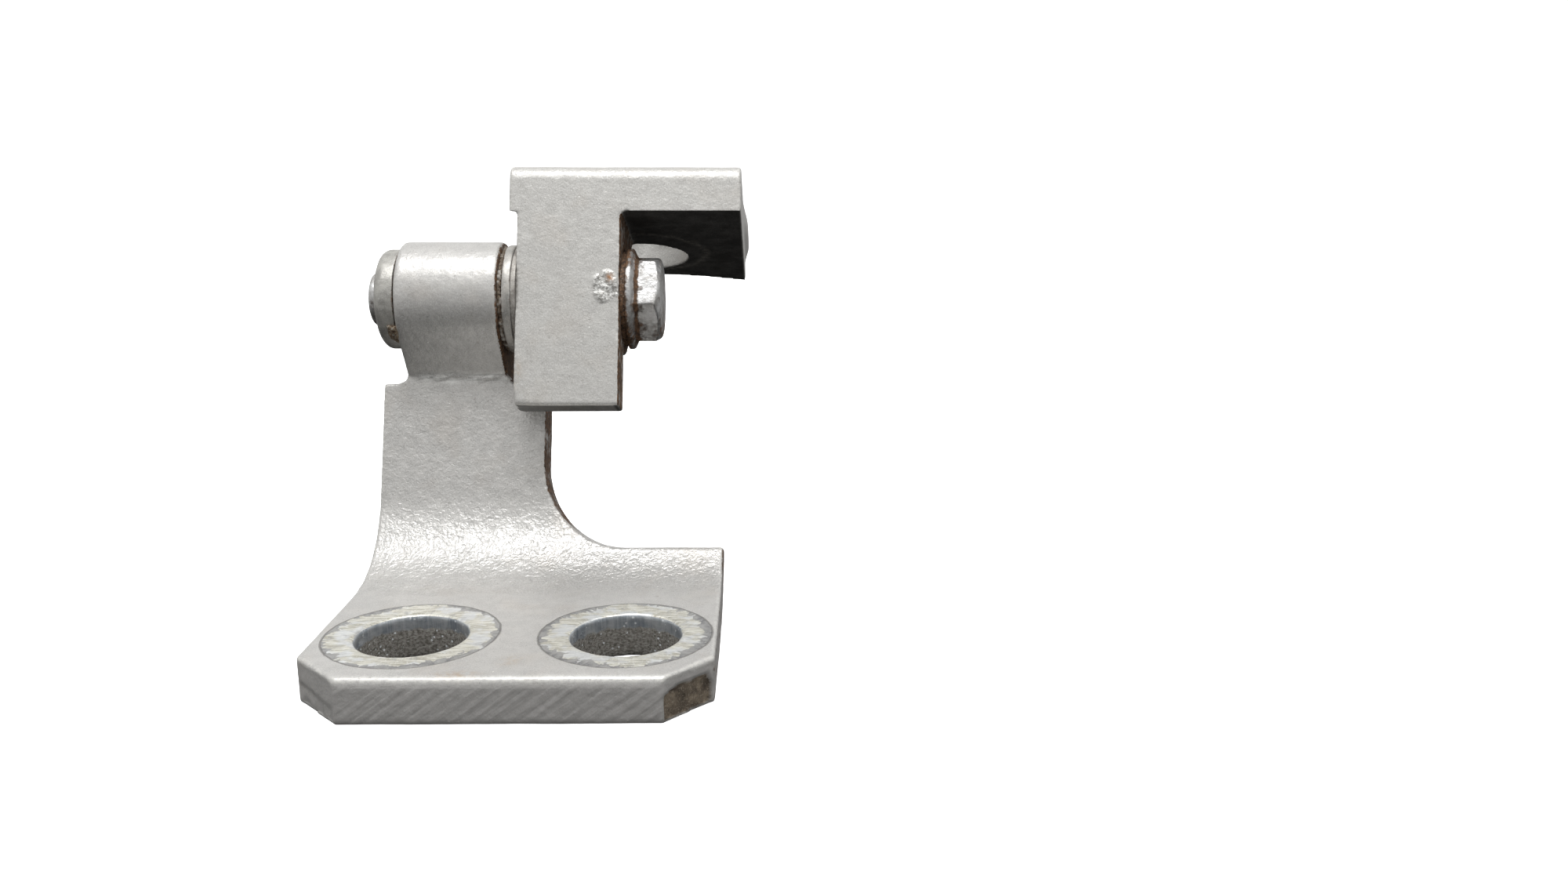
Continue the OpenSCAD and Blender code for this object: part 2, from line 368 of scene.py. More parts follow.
RUST_DARK = (0.05, 0.03, 0.018)
RUST_LIGHT = (0.18, 0.098, 0.05)
RUST_TINGE = (0.42, 0.27, 0.13)
GRIME_AND_SHADE = (0.055, 0.042, 0.03)
BARE_STEEL_AND_HIGHLIGHT = (0.68, 0.67, 0.64)
CUT_STEEL = (0.74, 0.72, 0.705)

# light and dark tone of each finish
BRACKET_TONES = ((0.59, 0.578, 0.562), (0.51, 0.5, 0.487))
BLOCK_TONES = ((0.56, 0.55, 0.53), (0.5, 0.49, 0.472))
ZINC_TONES = ((0.58, 0.58, 0.58), (0.38, 0.37, 0.36))
NUT_TONES = ((0.47, 0.46, 0.43), (0.34, 0.33, 0.31))
WASHER_TONES = ((0.48, 0.46, 0.43), (0.35, 0.34, 0.32))
BUSHING_TONES = ((0.42, 0.4, 0.37), (0.2, 0.18, 0.16))


def coat(graph, light, dark):
    """Silver-grey satin enamel: soft mottling, fine flake and a few pale pinholes."""
    mottle = graph.patches(3.0, 5.0, 0.3, 0.7)
    colour = graph.mix(mottle, dark, light)
    grain = graph.noise(0.3, 2.0)
    colour = graph.mix(graph.span(grain, 0.4, 0.72, 0.0, 0.5), colour, (0.76, 0.755, 0.74))
    shade = graph.noise(0.55, 3.0)
    colour = graph.mix(graph.span(shade, 0.4, 0.25, 0.0, 0.4), colour, (0.2, 0.19, 0.17))
    tint = graph.noise(11.0, 2.0)
    colour = graph.mix(graph.span(tint, 0.5, 0.75, 0.0, 0.14), colour, (0.52, 0.44, 0.36))
    pin = graph.times(graph.span(graph.cells(3.2), 0.08, 0.05), graph.span(graph.noise(5.0), 0.6, 0.64))
    return graph.mix(pin, colour, (0.85, 0.85, 0.82))


def weathered(graph, colour):
    """Lays wear, grime and rust over a colour by the piece's masks, and returns the colour and the rust;
    the edge mask may also carry a painted highlight and the grime mask painted shade.
    """
    speck = graph.noise(0.9, 4.0)
    # bare steel on worn edges; the edge mask also carries a painted highlight along the base's front top
    # edge
    bare = graph.times(graph.mask("edge"), graph.span(speck, 0.42, 0.6))
    colour = graph.mix(bare, colour, BARE_STEEL_AND_HIGHLIGHT)
    # darker in hollows, and painted shade where a piece adds it to the grime mask
    dirt = graph.times(graph.mask("grime"), graph.patches(1.4, 4.0, 0.3, 0.62))
    colour = graph.mix(dirt, colour, GRIME_AND_SHADE)
    scatter = graph.plus(graph.noise(3.4, 6.0), graph.times(graph.noise(0.9, 4.0), 0.5))
    patch = graph.plus(graph.mask("rust"), graph.times(graph.math("SUBTRACT", scatter, 0.75), 1.3))
    rust = graph.span(patch, 0.3, 0.72)
    rusty = graph.mix(graph.patches(1.2, 6.0, 0.3, 0.7), RUST_DARK, RUST_LIGHT)
    tinge = graph.times(graph.mask("tint"), graph.patches(1.5, 4.0, 0.3, 0.7))
    colour = graph.mix(tinge, colour, RUST_TINGE)
    return graph.mix(rust, colour, rusty), rust


def bare_front(g, colour, marks):
    """The cut front of the base, its saw marks, the painted glints on the neck and the broken corners."""
    sawn = g.times(g.mask("front"), g.span(marks, 0.4, 0.65, 0.0, 0.3))
    colour = g.mix(sawn, colour, (0.24, 0.23, 0.225))
    face = g.times(g.mask("face"), g.span(g.noise(2.0, 4.0), 0.2, 0.8, 0.5, 0.85))
    colour = g.mix(face, colour, CUT_STEEL)
    # painted glints: pale streaks along the neck's rough line
    colour = g.mix(g.times(g.mask("painted_glint"), 0.85), colour, (0.95, 0.95, 0.93))
    crumb = g.mix(g.patches(2.6, 6.0, 0.3, 0.7), (0.085, 0.066, 0.048), (0.26, 0.21, 0.155))
    crumb = g.mix(g.patches(0.35, 3.0, 0.5, 0.72, 0.6), crumb, (0.4, 0.35, 0.28))
    return g.mix(g.mask("broken"), colour, crumb)


def round_holes(g):
    """The distance to the axis of the nearer base hole, and streaks and hairs that fan out from it."""
    out = g.math("SUBTRACT", g.math("ABSOLUTE", g.x), HOLE_X)
    radius = g.math("SQRT", g.plus(g.times(out, out), g.times(g.y, g.y)))
    turn = g.plus(g.math("ARCTAN2", g.y, out), g.times(g.math("SIGN", g.x), 3.0))
    polar = g.join(g.times(turn, 9.0), g.times(radius, 0.32), 0.0)
    fine = g.join(g.times(turn, 34.0), g.times(radius, 0.9), 0.0)
    return radius, g.noise(1.0, 4.0, polar, 0.6), g.noise(1.0, 3.0, fine, 0.4)


def washer_rings(g, colour, radius, streak, hair):
    """Bare rings that washers have worn round the base holes, with a line pressed in at the rim."""
    above = g.math("GREATER_THAN", g.z, PLATE_T - 0.4)
    below = g.math("LESS_THAN", g.z, PLATE_T + 0.6)
    edge = g.plus(radius, g.off_middle(g.noise(3.0, 3.0), 0.5))
    ring = g.times(above, below, g.span(edge, RING_R, RING_R - 0.25))
    rim = g.mix(g.span(streak, 0.35, 0.65), (0.22, 0.22, 0.225), (0.42, 0.415, 0.41))
    rim = g.mix(g.span(hair, 0.52, 0.7, 0.0, 0.5), rim, (0.6, 0.6, 0.6))
    colour = g.mix(ring, colour, rim)
    # the brighter middle, whose outline is ragged
    sway = g.off_middle(g.noise(13.0, 1.0), 7.0)
    ragged = g.plus(g.plus(radius, sway), g.off_middle(streak, 8.0))
    worn = g.times(ring, g.span(ragged, RING_R - 1.2, RING_R - 1.8))
    cream = g.mix(g.span(g.stretched(0.45, 0, 9.0, 4.0), 0.35, 0.65), (0.44, 0.42, 0.35), (0.8, 0.79, 0.72))
    cream = g.mix(g.patches(4.5, 2.0, 0.45, 0.62, 0.6), cream, (0.76, 0.79, 0.84))
    cream = g.mix(g.span(hair, 0.5, 0.7, 0.0, 0.6), cream, (0.88, 0.88, 0.86))
    cream = g.mix(g.span(streak, 0.55, 0.75, 0.0, 0.5), cream, (0.34, 0.345, 0.35))
    colour = g.mix(worn, colour, cream)
    off_line = g.math("ABSOLUTE", g.math("SUBTRACT", edge, RING_R - 0.1))
    line = g.times(above, below, g.span(off_line, 0.28, 0.1))
    return g.mix(g.times(line, 0.6), colour, (0.16, 0.15, 0.14)), ring, line


def hole_walls(g, colour, radius, hair):
    """Walls of the base holes: wiped above; rough and speckled below, where the dark colour is painted
    shade deep in the hole.
    """
    wall = g.times(g.math("LESS_THAN", radius, HOLE_R + 0.35), g.math("LESS_THAN", g.z, PLATE_T - 0.4))
    depth = g.plus(g.z, g.off_middle(g.noise(2.5, 3.0), 2.4))
    low = g.times(wall, g.span(depth, PLATE_T - 3.0, PLATE_T - 3.7))
    wiped = g.mix(g.patches(3.0, 4.0, 0.3, 0.7), (0.24, 0.27, 0.31), (0.52, 0.54, 0.56))
    wiped = g.mix(g.span(hair, 0.4, 0.7, 0.0, 0.4), wiped, (0.66, 0.68, 0.7))
    colour = g.mix(wall, colour, wiped)
    # the lower wall: a rough texture, its darkness painted shade deep in the hole
    rough = g.mix(g.patches(0.6, 6.0, 0.3, 0.7), (0.13, 0.118, 0.103), (0.34, 0.322, 0.295))
    rough = g.mix(g.span(g.stretched(0.3, 0, 4.0, 3.0), 0.52, 0.66, 0.0, 0.7), rough, (0.5, 0.49, 0.46))
    colour = g.mix(low, colour, rough)
    spots = g.times(g.span(g.cells(1.25), 0.27, 0.2), g.patches(2.6, 2.0, 0.5, 0.58))
    return g.mix(g.times(wall, spots), colour, (0.78, 0.8, 0.82)), low


def bracket_finish():
    g = Graph("bracket_paint_worn")
    colour, rust = weathered(g, coat(g, *BRACKET_TONES))
    slant = g.plus(g.times(g.x, SAW_SLANT), g.times(g.z, -1.0))
    marks = g.noise(1.1, 2.0, g.vector("MULTIPLY", g.join(slant, g.x, g.z), (1.0, 0.04, 0.04)))
    colour = bare_front(g, colour, marks)
    radius, streak, hair = round_holes(g)
    colour, ring, line = washer_rings(g, colour, radius, streak, hair)
    colour, low = hole_walls(g, colour, radius, hair)
    raw = g.larger(rust, g.mask("broken"))
    leather = g.mask("leather")
    matt = g.plus(g.off_middle(g.noise(1.3, 3.0), 0.25), 0.43)
    matt = g.blend(raw, matt, 0.85)
    matt = g.blend(low, matt, 0.8)
    matt = g.blend(ring, matt, g.span(hair, 0.2, 0.8, 0.28, 0.52))
    matt = g.blend(g.times(leather, 0.5), matt, g.span(g.noise(0.6), 0.2, 0.8, 0.24, 0.36))
    metal = g.blend(raw, g.span(g.noise(3.0), 0.2, 0.8, 0.5, 0.62), 0.05)
    metal = g.blend(low, metal, 0.1)
    metal = g.blend(ring, metal, g.span(streak, 0.2, 0.8, 0.55, 0.75))
    # the paint's orange peel, coarser where the bend has stretched it
    peel = g.plus(g.noise(1.5, 2.0), g.times(g.noise(0.45, 3.0), 0.3))
    peel = g.plus(peel, g.times(leather, g.noise(1.0, 3.0, None, 0.6), 3.4))
    height = g.blend(raw, peel, g.times(g.noise(0.9, 5.0), 4.0))
    height = g.blend(low, height, g.times(g.noise(0.4, 5.0), 1.2))
    height = g.blend(ring, height, g.times(hair, 0.7))
    height = g.plus(height, g.times(g.mask("front"), marks, 0.8))
    height = g.plus(height, g.times(line, -2.0))
    return g.set(Base_Color=colour, Roughness=matt, Metallic=metal, Normal=g.bump(height, 1.0, 0.09))


def block_finish():
    g = Graph("block_paint_worn")
    colour, rust = weathered(g, coat(g, *BLOCK_TONES))
    # spatter on the lug's front, with one rusty dot
    blob = g.mask("blob")
    crystal = g.mix(g.patches(0.7, 5.0, 0.38, 0.66), (0.26, 0.25, 0.235), (0.76, 0.76, 0.74))
    colour = g.mix(g.times(blob, 0.85), colour, crystal)
    dot = g.times(g.mask("dot"), g.patches(0.8, 3.0, 0.35, 0.5))
    colour = g.mix(dot, colour, (0.5, 0.25, 0.12))
    # painted shade on the undersides, and the mark of a washer round the strap's hole
    under = g.mask("under")
    underside_shade = g.times(under, g.span(g.noise(5.0, 4.0), 0.2, 0.7, 0.86, 0.97))
    colour = g.mix(underside_shade, colour, (0.018, 0.016, 0.014))
    witness = g.times(g.mask("witness"), g.span(g.noise(1.6, 4.0), 0.4, 0.6, 0.1, 0.5))
    colour = g.mix(witness, colour, (0.3, 0.28, 0.25))
    matt = g.plus(g.off_middle(g.noise(1.3, 3.0), 0.25), 0.44)
    matt = g.blend(g.larger(rust, under), matt, 0.8)
    metal = g.blend(g.larger(rust, under), g.span(g.noise(3.0), 0.2, 0.8, 0.48, 0.6), 0.05)
    metal = g.blend(blob, metal, g.span(g.noise(0.6, 3.0), 0.3, 0.7, 0.2, 0.7))
    peel = g.plus(g.noise(1.4, 2.0), g.times(g.noise(0.5, 3.0), 0.7))
    peel = g.plus(peel, g.times(g.mask("brow"), g.noise(0.9, 3.0, None, 0.5), 1.6))
    height = g.blend(g.larger(rust, blob), peel, g.times(g.noise(0.8, 5.0), 3.5))
    return g.set(Base_Color=colour, Roughness=matt, Metallic=metal, Normal=g.bump(height, 1.0, 0.08))


def turned_finish(name, light, dark, metal, matt, peel):
    """Small turned steel parts: washer, nut and bolt, with the same wear, grime and rust masks; on the bolt
    the grime mask also paints shade on the lower half.
    """
    g = Graph(name)
    mottle = g.patches(2.4, 4.0, 0.32, 0.66)
    colour = g.mix(mottle, dark, light)
    grain = g.noise(0.3, 3.0)
    colour = g.mix(g.span(grain, 0.45, 0.75, 0.0, 0.4), colour, (0.7, 0.7, 0.69))
    colour, rust = weathered(g, colour)
    rough = g.plus(g.off_middle(g.noise(0.9, 3.0), 0.25), matt)
    rough = g.blend(rust, rough, 0.82)
    shine = g.blend(rust, g.span(g.noise(1.8), 0.25, 0.75, metal - 0.1, metal + 0.1), 0.05)
    turned = g.plus(g.noise(0.9, 3.0), g.times(g.noise(0.3, 2.0), 0.4))
    height = g.blend(rust, turned, g.times(g.noise(0.6, 5.0), 3.5))
    return g.set(Base_Color=colour, Roughness=rough, Metallic=shine, Normal=g.bump(height, 1.0, peel))


def granular_finish():
    """The bushing's flange, with paint and dirt caked on its rim."""
    g = Graph("bushing_flange_grime")
    grain = g.mask("grain")
    colour = g.mix(g.patches(0.5, 4.0, 0.35, 0.65), (0.07, 0.05, 0.035), (0.2, 0.16, 0.12))
    colour = g.mix(g.times(grain, g.patches(0.8, 3.0, 0.25, 0.5)), colour, (0.44, 0.42, 0.39))
    colour = g.mix(g.patches(2.0, 3.0, 0.6, 0.72, 0.4), colour, (0.28, 0.18, 0.1))
    matt = g.span(g.noise(0.7, 3.0), 0.2, 0.8, 0.55, 0.8)
    metal = g.span(g.noise(1.1, 2.0), 0.3, 0.7, 0.1, 0.4)
    grit = g.bump(g.noise(0.4, 4.0), 0.8, 0.1)
    return g.set(Base_Color=colour, Roughness=matt, Metallic=metal, Normal=grit)


def rusty_finish(name, dark=RUST_DARK, light=RUST_LIGHT):
    g = Graph(name)
    colour = g.mix(g.patches(0.8, 5.0, 0.35, 0.65), dark, light)
    colour = g.mix(g.patches(0.4, 3.0, 0.58, 0.72, 0.5), colour, (0.36, 0.31, 0.25))
    matt = g.span(g.noise(0.9, 3.0), 0.2, 0.8, 0.55, 0.85)
    metal = g.patches(1.3, 3.0, 0.25, 0.75, 0.3)
    grit = g.bump(g.noise(0.5, 4.0), 0.8, 0.12)
    return g.set(Base_Color=colour, Roughness=matt, Metallic=metal, Normal=grit)


def ground_finish(name):
    g = Graph(name)
    rings = g.stretched(0.25, 1, 8.0, 3.0)
    colour = g.mix(g.span(rings, 0.3, 0.7), (0.4, 0.4, 0.41), (0.6, 0.6, 0.6))
    colour = g.mix(g.patches(3.0, 4.0, 0.55, 0.72, 0.5), colour, (0.2, 0.16, 0.12))
    matt = g.span(g.noise(1.2, 3.0), 0.2, 0.8, 0.2, 0.42)
    metal = g.span(g.noise(2.2, 2.0), 0.3, 0.7, 0.85, 1.0)
    return g.set(Base_Color=colour, Roughness=matt, Metallic=metal, Normal=g.bump(rings, 0.3, 0.02))


def weld_finish():
    g = Graph("tack_weld_rust")
    colour = g.mix(g.patches(0.5, 4.0, 0.35, 0.65), (0.08, 0.05, 0.03), (0.3, 0.24, 0.17))
    colour = g.mix(g.patches(0.8, 3.0, 0.55, 0.68, 0.7), colour, (0.5, 0.48, 0.44))
    matt = g.span(g.noise(0.6, 3.0), 0.2, 0.8, 0.4, 0.75)
    metal = g.span(g.noise(0.8, 2.0), 0.3, 0.7, 0.2, 0.7)
    grit = g.bump(g.noise(0.4, 4.0), 0.8, 0.12)
    return g.set(Base_Color=colour, Roughness=matt, Metallic=metal, Normal=grit)


# ---------------------------------------------------------------- the pieces


def spot(x, y, at, size):
    """A soft oval spot, seen from above."""
    return near(x, at[0], size[0]) * near(y, at[1], size[1])


def wear_masks(skin, edge_at, hollow_at, painted_highlight=0.0, painted_shade=0.0, clean=0.0):
    """Marks edges and hollows by how sharply the surface bends, and other places where they are given: a
    painted highlight joins the edge mask, and painted shade joins the grime mask.
    """
    bend = skin.bend_of_surface()
    skin.mark("edge", np.maximum(step(bend, edge_at * 0.5, edge_at), painted_highlight))
    skin.mark("grime", np.maximum(step(-bend, hollow_at * 0.5, hollow_at), painted_shade) * (1 - clean))


def bracket():
    skin = Skin("frame_bracket", "bracket_forging", 0.56, "bracket", "bracket_paint")
    skin.soften(2)
    # x, y and z follow every push; the leaning frame stays as it was here
    x, y, z = skin.p.T
    local = leaning(skin.p)
    leg = step(y, BEND_Y - 6, BEND_Y + 2) * step(-local[:, 2], 12, 20)
    skin.push(0.06 * lumps(skin.p, 14, 3) + 0.03 * lumps(skin.p, 6, 4))
    skin.push(leg * (0.05 * lumps(skin.p, 2.4, 5) + 0.035 * lumps(skin.p, 1.5, 6)))
    # rough line where the neck's facet leaves the leg
    crest = near(local[:, 2], NECK_LINE + 0.7 * lumps(skin.p, 5, 7), 0.8) * (local[:, 1] < NECK_FRONT)
    inside = step(x, BASE_LOW[0] + 7, BASE_LOW[0] + 12)
    skin.push(crest * inside * (0.45 + 0.35 * lumps(skin.p, 2.2, 8)))
    # saw marks on the front of the base
    front = step(-y, -BASE_LOW[1] - 0.5, -BASE_LOW[1] - 0.2) * step(PLATE_T - z, 1.5, 2.6)
    saw = np.sin((SAW_SLANT * x - z) * 2.1 + 1.3 * lumps(skin.p, 9, 9))
    skin.push(front * 0.035 * saw)
    # broken lower corners of the two chamfers: top_line and foot are how high the breaks reach
    right = step(x - CHAMFER_RIGHT, 0.2, 0.7) * step(-y, 13.5, 14.5)
    on_right = right * step(skin.n[:, 0] - skin.n[:, 1], 0.9, 1.2) * (skin.n[:, 2] < 0.75)
    top_line = 7.4 - 1.6 * near(x, CHAMFER_RIGHT - 0.5, 2.4) + 0.5 * lumps(skin.p, 2.2, 11)
    top_line = np.where(x > CHAMFER_RIGHT + 9.0, top_line - (x - CHAMFER_RIGHT - 9.0) * 2.2, top_line)
    broken = on_right * step(top_line - z, 0.0, 0.35)
    skin.push(-broken * (0.75 + 0.22 * lumps(skin.p, 1.5, 12) + 0.12 * lumps(skin.p, 0.9, 13)))
    left = step(CHAMFER_LEFT - x, 0.4, 1.0) * step(-y, 12.5, 13.5)
    on_left = left * step(-skin.n[:, 0] - skin.n[:, 1], 0.9, 1.2)
    foot = 5.6 - 1.2 * step(x - BASE_LOW[0], 1, 11) + 0.5 * lumps(skin.p, 4.0, 14)
    chipped = on_left * step(foot - z, 0.0, 1.6)
    skin.push(-chipped * (0.4 + 0.2 * lumps(skin.p, 2.0, 15)))
    skin.soften(1, 0.6)
    # painted highlight along the base's front top edge, laid on as bare steel through the edge mask
    lip_highlight = near(skin.p[:, 1], BASE_LOW[1] + 0.4, 0.9) * near(skin.p[:, 2], PLATE_T - 0.4, 0.9)
    wear_masks(skin, 0.055, 0.05, painted_highlight=lip_highlight, clean=crest * inside)
    # short painted glints drawn out along the neck's line
    drawn = np.stack([x / 3.5, y, z - 0.12 * x], axis=1)
    ragged = near(local[:, 2], NECK_LINE - 0.4 + 0.9 * lumps(skin.p, 3.5, 16), 1.1)
    ragged = ragged * (local[:, 1] < NECK_FRONT) * inside
    skin.mark("painted_glint", ragged * step(lumps(drawn, 0.7, 10), 0.05, 0.4))
    # rust on the right-hand sides and the foot of the front, and three stains on the base
    leg_side = step(skin.n[:, 0], 0.4, 0.8) * step(y, BEND_Y + 2, BEND_Y + 16)
    stain = 0.35 * spot(x, y, (1.0, -15.5), (2.2, 2.4)) + 0.6 * spot(x, y, (-9.0, -22.2), (4.0, 1.4))
    stain = stain * (z > PLATE_T - 1.5) + 0.5 * spot(x, y, (-36.0, 1.0), (1.2, 2.0)) * (z > PLATE_T - 2)
    neck_side = step(skin.n[:, 0], 0.4, 0.8) * step(local[:, 2], -23, -20) * step(-local[:, 2], 9, 11)
    skin.mark("tint", stain)
    rust = 0.7 * leg_side + 0.62 * neck_side + 0.2 * (y < BASE_LOW[1] + 1) * (z < 1.0)
    rust = rust + 0.3 * chipped * step(x - BASE_LOW[0], 5, 10) * step(3.5 - z, 0, 2)
    rust = rust + 0.35 * step(skin.n[:, 0], 0.6, 0.9) * (y < BEND_Y)
    skin.mark("rust", rust)
    # where the surface is leathery, broken, sawn and cut bare
    bent = leg * (0.55 + 0.45 * step(BEND_Y + 24 - y, -4, 6))
    eye_top = 0.3 * step(local[:, 2], 3, 8)
    skin.mark("leather", np.maximum(np.maximum(bent * step(-local[:, 2], 18, 24), crest * inside), eye_top))
    skin.mark("broken", np.clip(broken, 0, 1))
    skin.mark("front", front)
    skin.mark("face", step(-skin.n[:, 1], 0.6, 0.68) * step(9.3 - z, 0, 0.8) * (y < BASE_LOW[1] + 14))
    return skin.finish(bracket_finish())


def block():
    skin = Skin("door_block", "door_block_forging", 0.5, "door_leaf", "block_paint")
    skin.soften(2)
    x, y, z = leaning(skin.p).T
    front = y.min()
    # the lug's lower left corner is rounded off
    corner = near(x, LUG_LEFT, 3.0) * near(z, z.min(), 3.0) * (y < front + 6)
    skin.soften(20, np.minimum(2 * corner, 1))
    skin.push(0.05 * lumps(skin.p, 13, 23) + 0.025 * lumps(skin.p, 5, 24) + 0.018 * lumps(skin.p, 1.8, 25))
    # the strap's rear upper edges are swaged outward a little
    swell = step(y, 14, 42) * (1 - 0.4 * step(y, 55, 61)) * step(z, 25.5, 30)
    skin.push(swell * np.abs(skin.n[:, 0]) * 1.1)
    # ragged right edge of the lug
    edge = near(x, LUG_RIGHT, 0.6) * near(y, front, 0.7) * (z < 19)
    skin.push(edge * (0.18 * lumps(skin.p, 1.4, 26) - 0.05))
    # corroded spatter on the front of the lug at the height of the pin
    dx, dz = x - (LUG_RIGHT - 3.6), z - 0.2
    away = np.sqrt((dx / 3.9) ** 2 + (dz / 4.3) ** 2) + 0.2 * lumps(skin.p, 2.4, 27)
    face = near(y, front, 1.0)
    blob = face * step(1.0 - away, 0.0, 0.25)
    skin.push(blob * (0.24 + 0.34 * lumps(skin.p, 1.6, 28) + 0.16 * lumps(skin.p, 1.15, 29)))
    wear_masks(skin, 0.045, 0.04)
    # rust, tinge, and painted shade on the undersides
    x, y, z = leaning(skin.p).T
    right_side = step(skin.n[:, 0], 0.5, 0.9) * (z < LUG_SIDE_TOP) * (x < LUG_RIGHT + 2)
    relief = near(np.hypot(y, z), 22.0, 2.2) * (x < LUG_LEFT + 4)
    rust = 0.72 * right_side + 0.6 * relief * step(-skin.n[:, 0], 0.3, 0.8)
    rust = rust + 0.6 * near(x, LUG_RIGHT, 0.35) * near(y, front, 0.8) * (z < 20)
    skin.mark("tint", 0.5 * near(x, LUG_LEFT + 0.4, 1.5) * near(z, -22.5, 3.0) * near(y, front, 1.2))
    skin.mark("rust", rust)
    skin.mark("brow", near(y, front + 1.3, 2.2) * step(z, z.max() - 6, z.max() - 3))
    skin.mark("blob", np.clip(blob, 0, 1))
    skin.mark("dot", near(x, LUG_RIGHT - 2.6, 0.8) * near(z, 2.6, 0.9) * face)
    # painted shade on the faces that look down: the strap's underside and the lug's foot
    shaded_underside = step(-skin.n[:, 2], 0.35, 0.8) * (x > LUG_RIGHT - 1.0) * (z < 23)
    shaded_underside = np.maximum(shaded_underside, 0.7 * step(-skin.n[:, 2], 0.6, 0.9) * (z < LUG_FOOT))
    skin.mark("under", shaded_underside)
    reach = np.hypot(x - STRAP_HOLE_X, y - STRAP_HOLE_Y)
    skin.mark("witness", shaded_underside * near(reach, 19.0, 1.2))
    return skin.finish(block_finish())


def bolt():
    skin = Skin("pivot_bolt", "pivot_bolt_zinc", 0.27, "bracket", "zinc")
    skin.soften(2)
    x, _, z = skin.p.T
    # its head's end, and the two faces of its flange, along X
    end = box_mm("pivot_bolt")[1][0]
    flange = box_mm("lug_bushing_outer")[1][0] + 0.1
    skin.push(0.05 * lumps(skin.p, 2.2, 31) + 0.03 * lumps(skin.p, 0.9, 32))
    # painted shade on the bolt's lower half, laid into the grime mask
    wear_masks(skin, 0.03, 0.03, painted_shade=0.5 * step(PIVOT[2] - z, 2, 7))
    foot = flange + 2.7
    rust = 0.72 * near(x, foot + 0.05, 0.5) + 0.5 * near(x, flange, 0.6) + 0.25 * near(x, foot + 1.4, 1.2)
    rust = rust + 0.36 * near(x, end - 0.2, 0.4) + 0.26 * step(PIVOT[2] - z, 1, 10)
    rust = rust + 0.3 * step(z - PIVOT[2], 8, 12) + 0.26 * (x < foot)
    skin.mark("rust", rust)
    return skin.finish(turned_finish("zinc_worn", *ZINC_TONES, 0.75, 0.4, 0.1))


def nut():
    skin = Skin("round_nut", "round_nut_painted", 0.27, "bracket", "zinc")
    skin.soften(3)
    skin.push(0.07 * lumps(skin.p, 4.0, 41) + 0.04 * lumps(skin.p, 1.3, 42))
    wear_masks(skin, 0.03, 0.03)
    low, high = box_mm("round_nut")
    x = skin.p[:, 0]
    # rust where the nut meets the eye, and round the end of the bolt
    round_bolt = near(skin.off_axis(), 7.4, 0.6) * (x < low[0] + 2.5)
    rust = 0.5 * near(x, high[0], 0.4) + 0.2 * round_bolt
    skin.mark("rust", rust)
    return skin.finish(turned_finish("nut_overspray", *NUT_TONES, 0.5, 0.42, 0.06))


def washer():
    skin = Skin("thrust_washer", "thrust_washer_worn", 0.27, "bracket", "washer_paint")
    skin.soften(4)
    skin.push(0.05 * lumps(skin.p, 3.0, 51))
    wear_masks(skin, 0.03, 0.03)
    low, high = box_mm("thrust_washer")
    x = skin.p[:, 0]
    rust = 0.5 * near(x, low[0], 0.35) + 0.35 * near(x, high[0], 0.35)
    skin.mark("rust", rust)
    return skin.finish(turned_finish("washer_overspray", *WASHER_TONES, 0.5, 0.42, 0.05))


def flange_ring():
    skin = Skin("knuckle_bushing_inner", "bushing_flange_caked", 0.22, "bracket", "bronze")
    # only the flange's rim is caked
    rim = step(skin.off_axis(), 12.2, 13.4)
    skin.soften(1)
    grains = 0.32 * lumps(skin.p, 1.15, 61) + 0.2 * lumps(skin.p, 0.7, 62)
    skin.push(rim * (grains - 0.02))
    skin.mark("grain", step(grains, -0.05, 0.25))
    return skin.finish(granular_finish())


def tack():
    skin = Skin("nut_tack_weld", "tack_weld_bead", 0.13, "bracket", "weld")
    skin.soften(2)
    # lumpy, and swollen a little past its plain shape
    skin.push(0.3 * lumps(skin.p, 1.3, 71) + 0.16 * lumps(skin.p, 0.6, 72) + 0.45)
    skin.soften(1)
    return skin.finish(weld_finish())


def restyle(node, material):
    """Gives a CAD node that is shown as it is a material of its own, and smooth shading."""
    data = frame["nodes"][node].data
    data.materials.clear()
    data.materials.append(material)
    for face in data.polygons:
        face.use_smooth = True


# ---------------------------------------------------------------- stage


def white_sheet(name, corners):
    """A sheet that neither lights nor shows in the metal; a wall doesn't hold back the light either."""
    mesh = bpy.data.meshes.new(name)
    mesh.from_pydata([Vector(c) for c in corners], [], [(0, 1, 2, 3)])
    mesh.materials.append(sheet_material())
    obj = bpy.data.objects.new(name, mesh)
    bpy.context.scene.collection.objects.link(obj)
    obj.visible_diffuse = False
    obj.visible_glossy = False
    obj.visible_shadow = name == "floor"


def sheet_material():
    found = bpy.data.materials.get("pale_sheet")
    if found:
        return found
    g = Graph("pale_sheet")
    tone = g.mix(g.noise(90.0, 3.0), (0.8, 0.8, 0.8), (0.84, 0.84, 0.84))
    g.shader.inputs["Emission Strength"].default_value = 0.9
    return g.set(Base_Color=tone, Roughness=0.9, Emission_Color=(1.0, 1.0, 1.0))


def backdrop():
    """A white floor under the object and four white walls far round it."""
    low, tall, far = BASE_LOW[2] * MM, SHEET_TALL, SHEET_REACH
    corners = [(-far, -far), (far, -far), (far, far), (-far, far)]
    white_sheet("floor", [(x, y, low) for x, y in corners])
    for i, (a, b) in enumerate(zip(corners, corners[1:] + corners[:1])):
        white_sheet(f"wall_{i}", [(*a, low), (*b, low), (*b, tall), (*a, tall)])


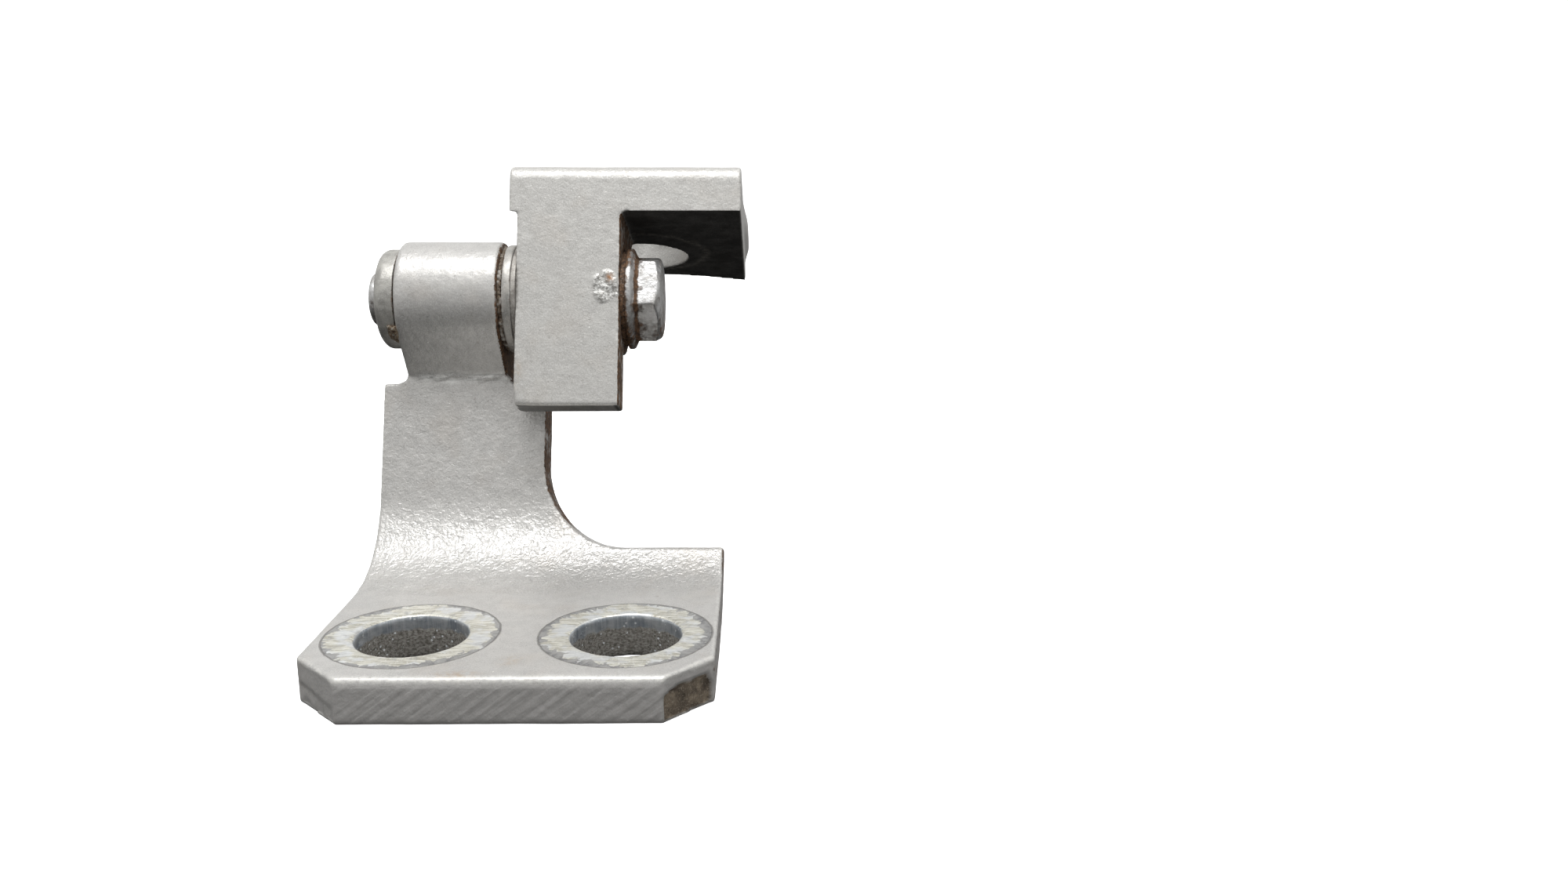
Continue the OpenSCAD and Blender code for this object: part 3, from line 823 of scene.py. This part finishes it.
def room():
    """A soft grey room: dark below, bright above, and a little darker towards negative Y."""
    world = bpy.data.worlds.new("room")
    bpy.context.scene.world = world
    world.use_nodes = True
    tree = world.node_tree
    place = tree.nodes.new("ShaderNodeTexCoord")
    parts = tree.nodes.new("ShaderNodeSeparateXYZ")
    tree.links.new(place.outputs["Generated"], parts.inputs[0])
    height = tree.nodes.new("ShaderNodeMapRange")
    height.inputs["From Min"].default_value = -1.0
    height.inputs["From Max"].default_value = 1.0
    tree.links.new(parts.outputs["Z"], height.inputs["Value"])
    ramp = tree.nodes.new("ShaderNodeValToRGB")
    tree.links.new(height.outputs[0], ramp.inputs[0])
    bar = ramp.color_ramp
    while len(bar.elements) < len(ROOM_STOPS):
        bar.elements.new(0.5)
    for element, (at, shade) in zip(bar.elements, ROOM_STOPS):
        element.position = at
        element.color = (shade, shade, shade * ROOM_WARMTH, 1)
    background = tree.nodes["Background"]
    shadow = tree.nodes.new("ShaderNodeMapRange")
    shadow.inputs["From Min"].default_value = -1.0
    shadow.inputs["From Max"].default_value = -0.55
    shadow.inputs["To Min"].default_value = ROOM_FRONT_SHADE
    tree.links.new(parts.outputs["Y"], shadow.inputs["Value"])
    tree.links.new(ramp.outputs[0], background.inputs["Color"])
    tree.links.new(shadow.outputs[0], background.inputs["Strength"])


def lamp(name, place, aim, size, power):
    data = bpy.data.lights.new(name, "AREA")
    data.shape = "RECTANGLE"
    data.size, data.size_y = size
    data.energy = power
    obj = bpy.data.objects.new(name, data)
    bpy.context.scene.collection.objects.link(obj)
    obj.location = place
    turn = Vector(aim) - Vector(place)
    obj.rotation_euler = turn.to_track_quat("-Z", "Y").to_euler()


def camera():
    """The camera at the photograph's angle."""
    data = bpy.data.cameras.new("camera")
    data.lens = CAMERA_LENS
    data.sensor_width = 36.0
    data.clip_start = 0.01
    obj = bpy.data.objects.new("camera", data)
    bpy.context.scene.collection.objects.link(obj)
    obj.location = CAMERA_AT
    obj.rotation_euler = [math.radians(a) for a in CAMERA_TURN]
    bpy.context.scene.camera = obj


bracket()
block()
bolt()
nut()
washer()
flange_ring()
tack()
restyle("knuckle_bushing_outer", rusty_finish("bushing_outer_rusted", GRIME_AND_SHADE, RUST_DARK))
restyle("lug_bushing_inner", turned_finish("bushing_overspray", *BUSHING_TONES, 0.4, 0.5, 0.06))
restyle("lug_bushing_outer", rusty_finish("bushing_rusted"))
restyle("pivot_sleeve", ground_finish("sleeve_ground"))
backdrop()
room()
lamp("overhead", LAMP_AT, LAMP_AIM, LAMP_SIZE, LAMP_POWER)
camera()
bpy.context.scene.view_settings.view_transform = "Standard"
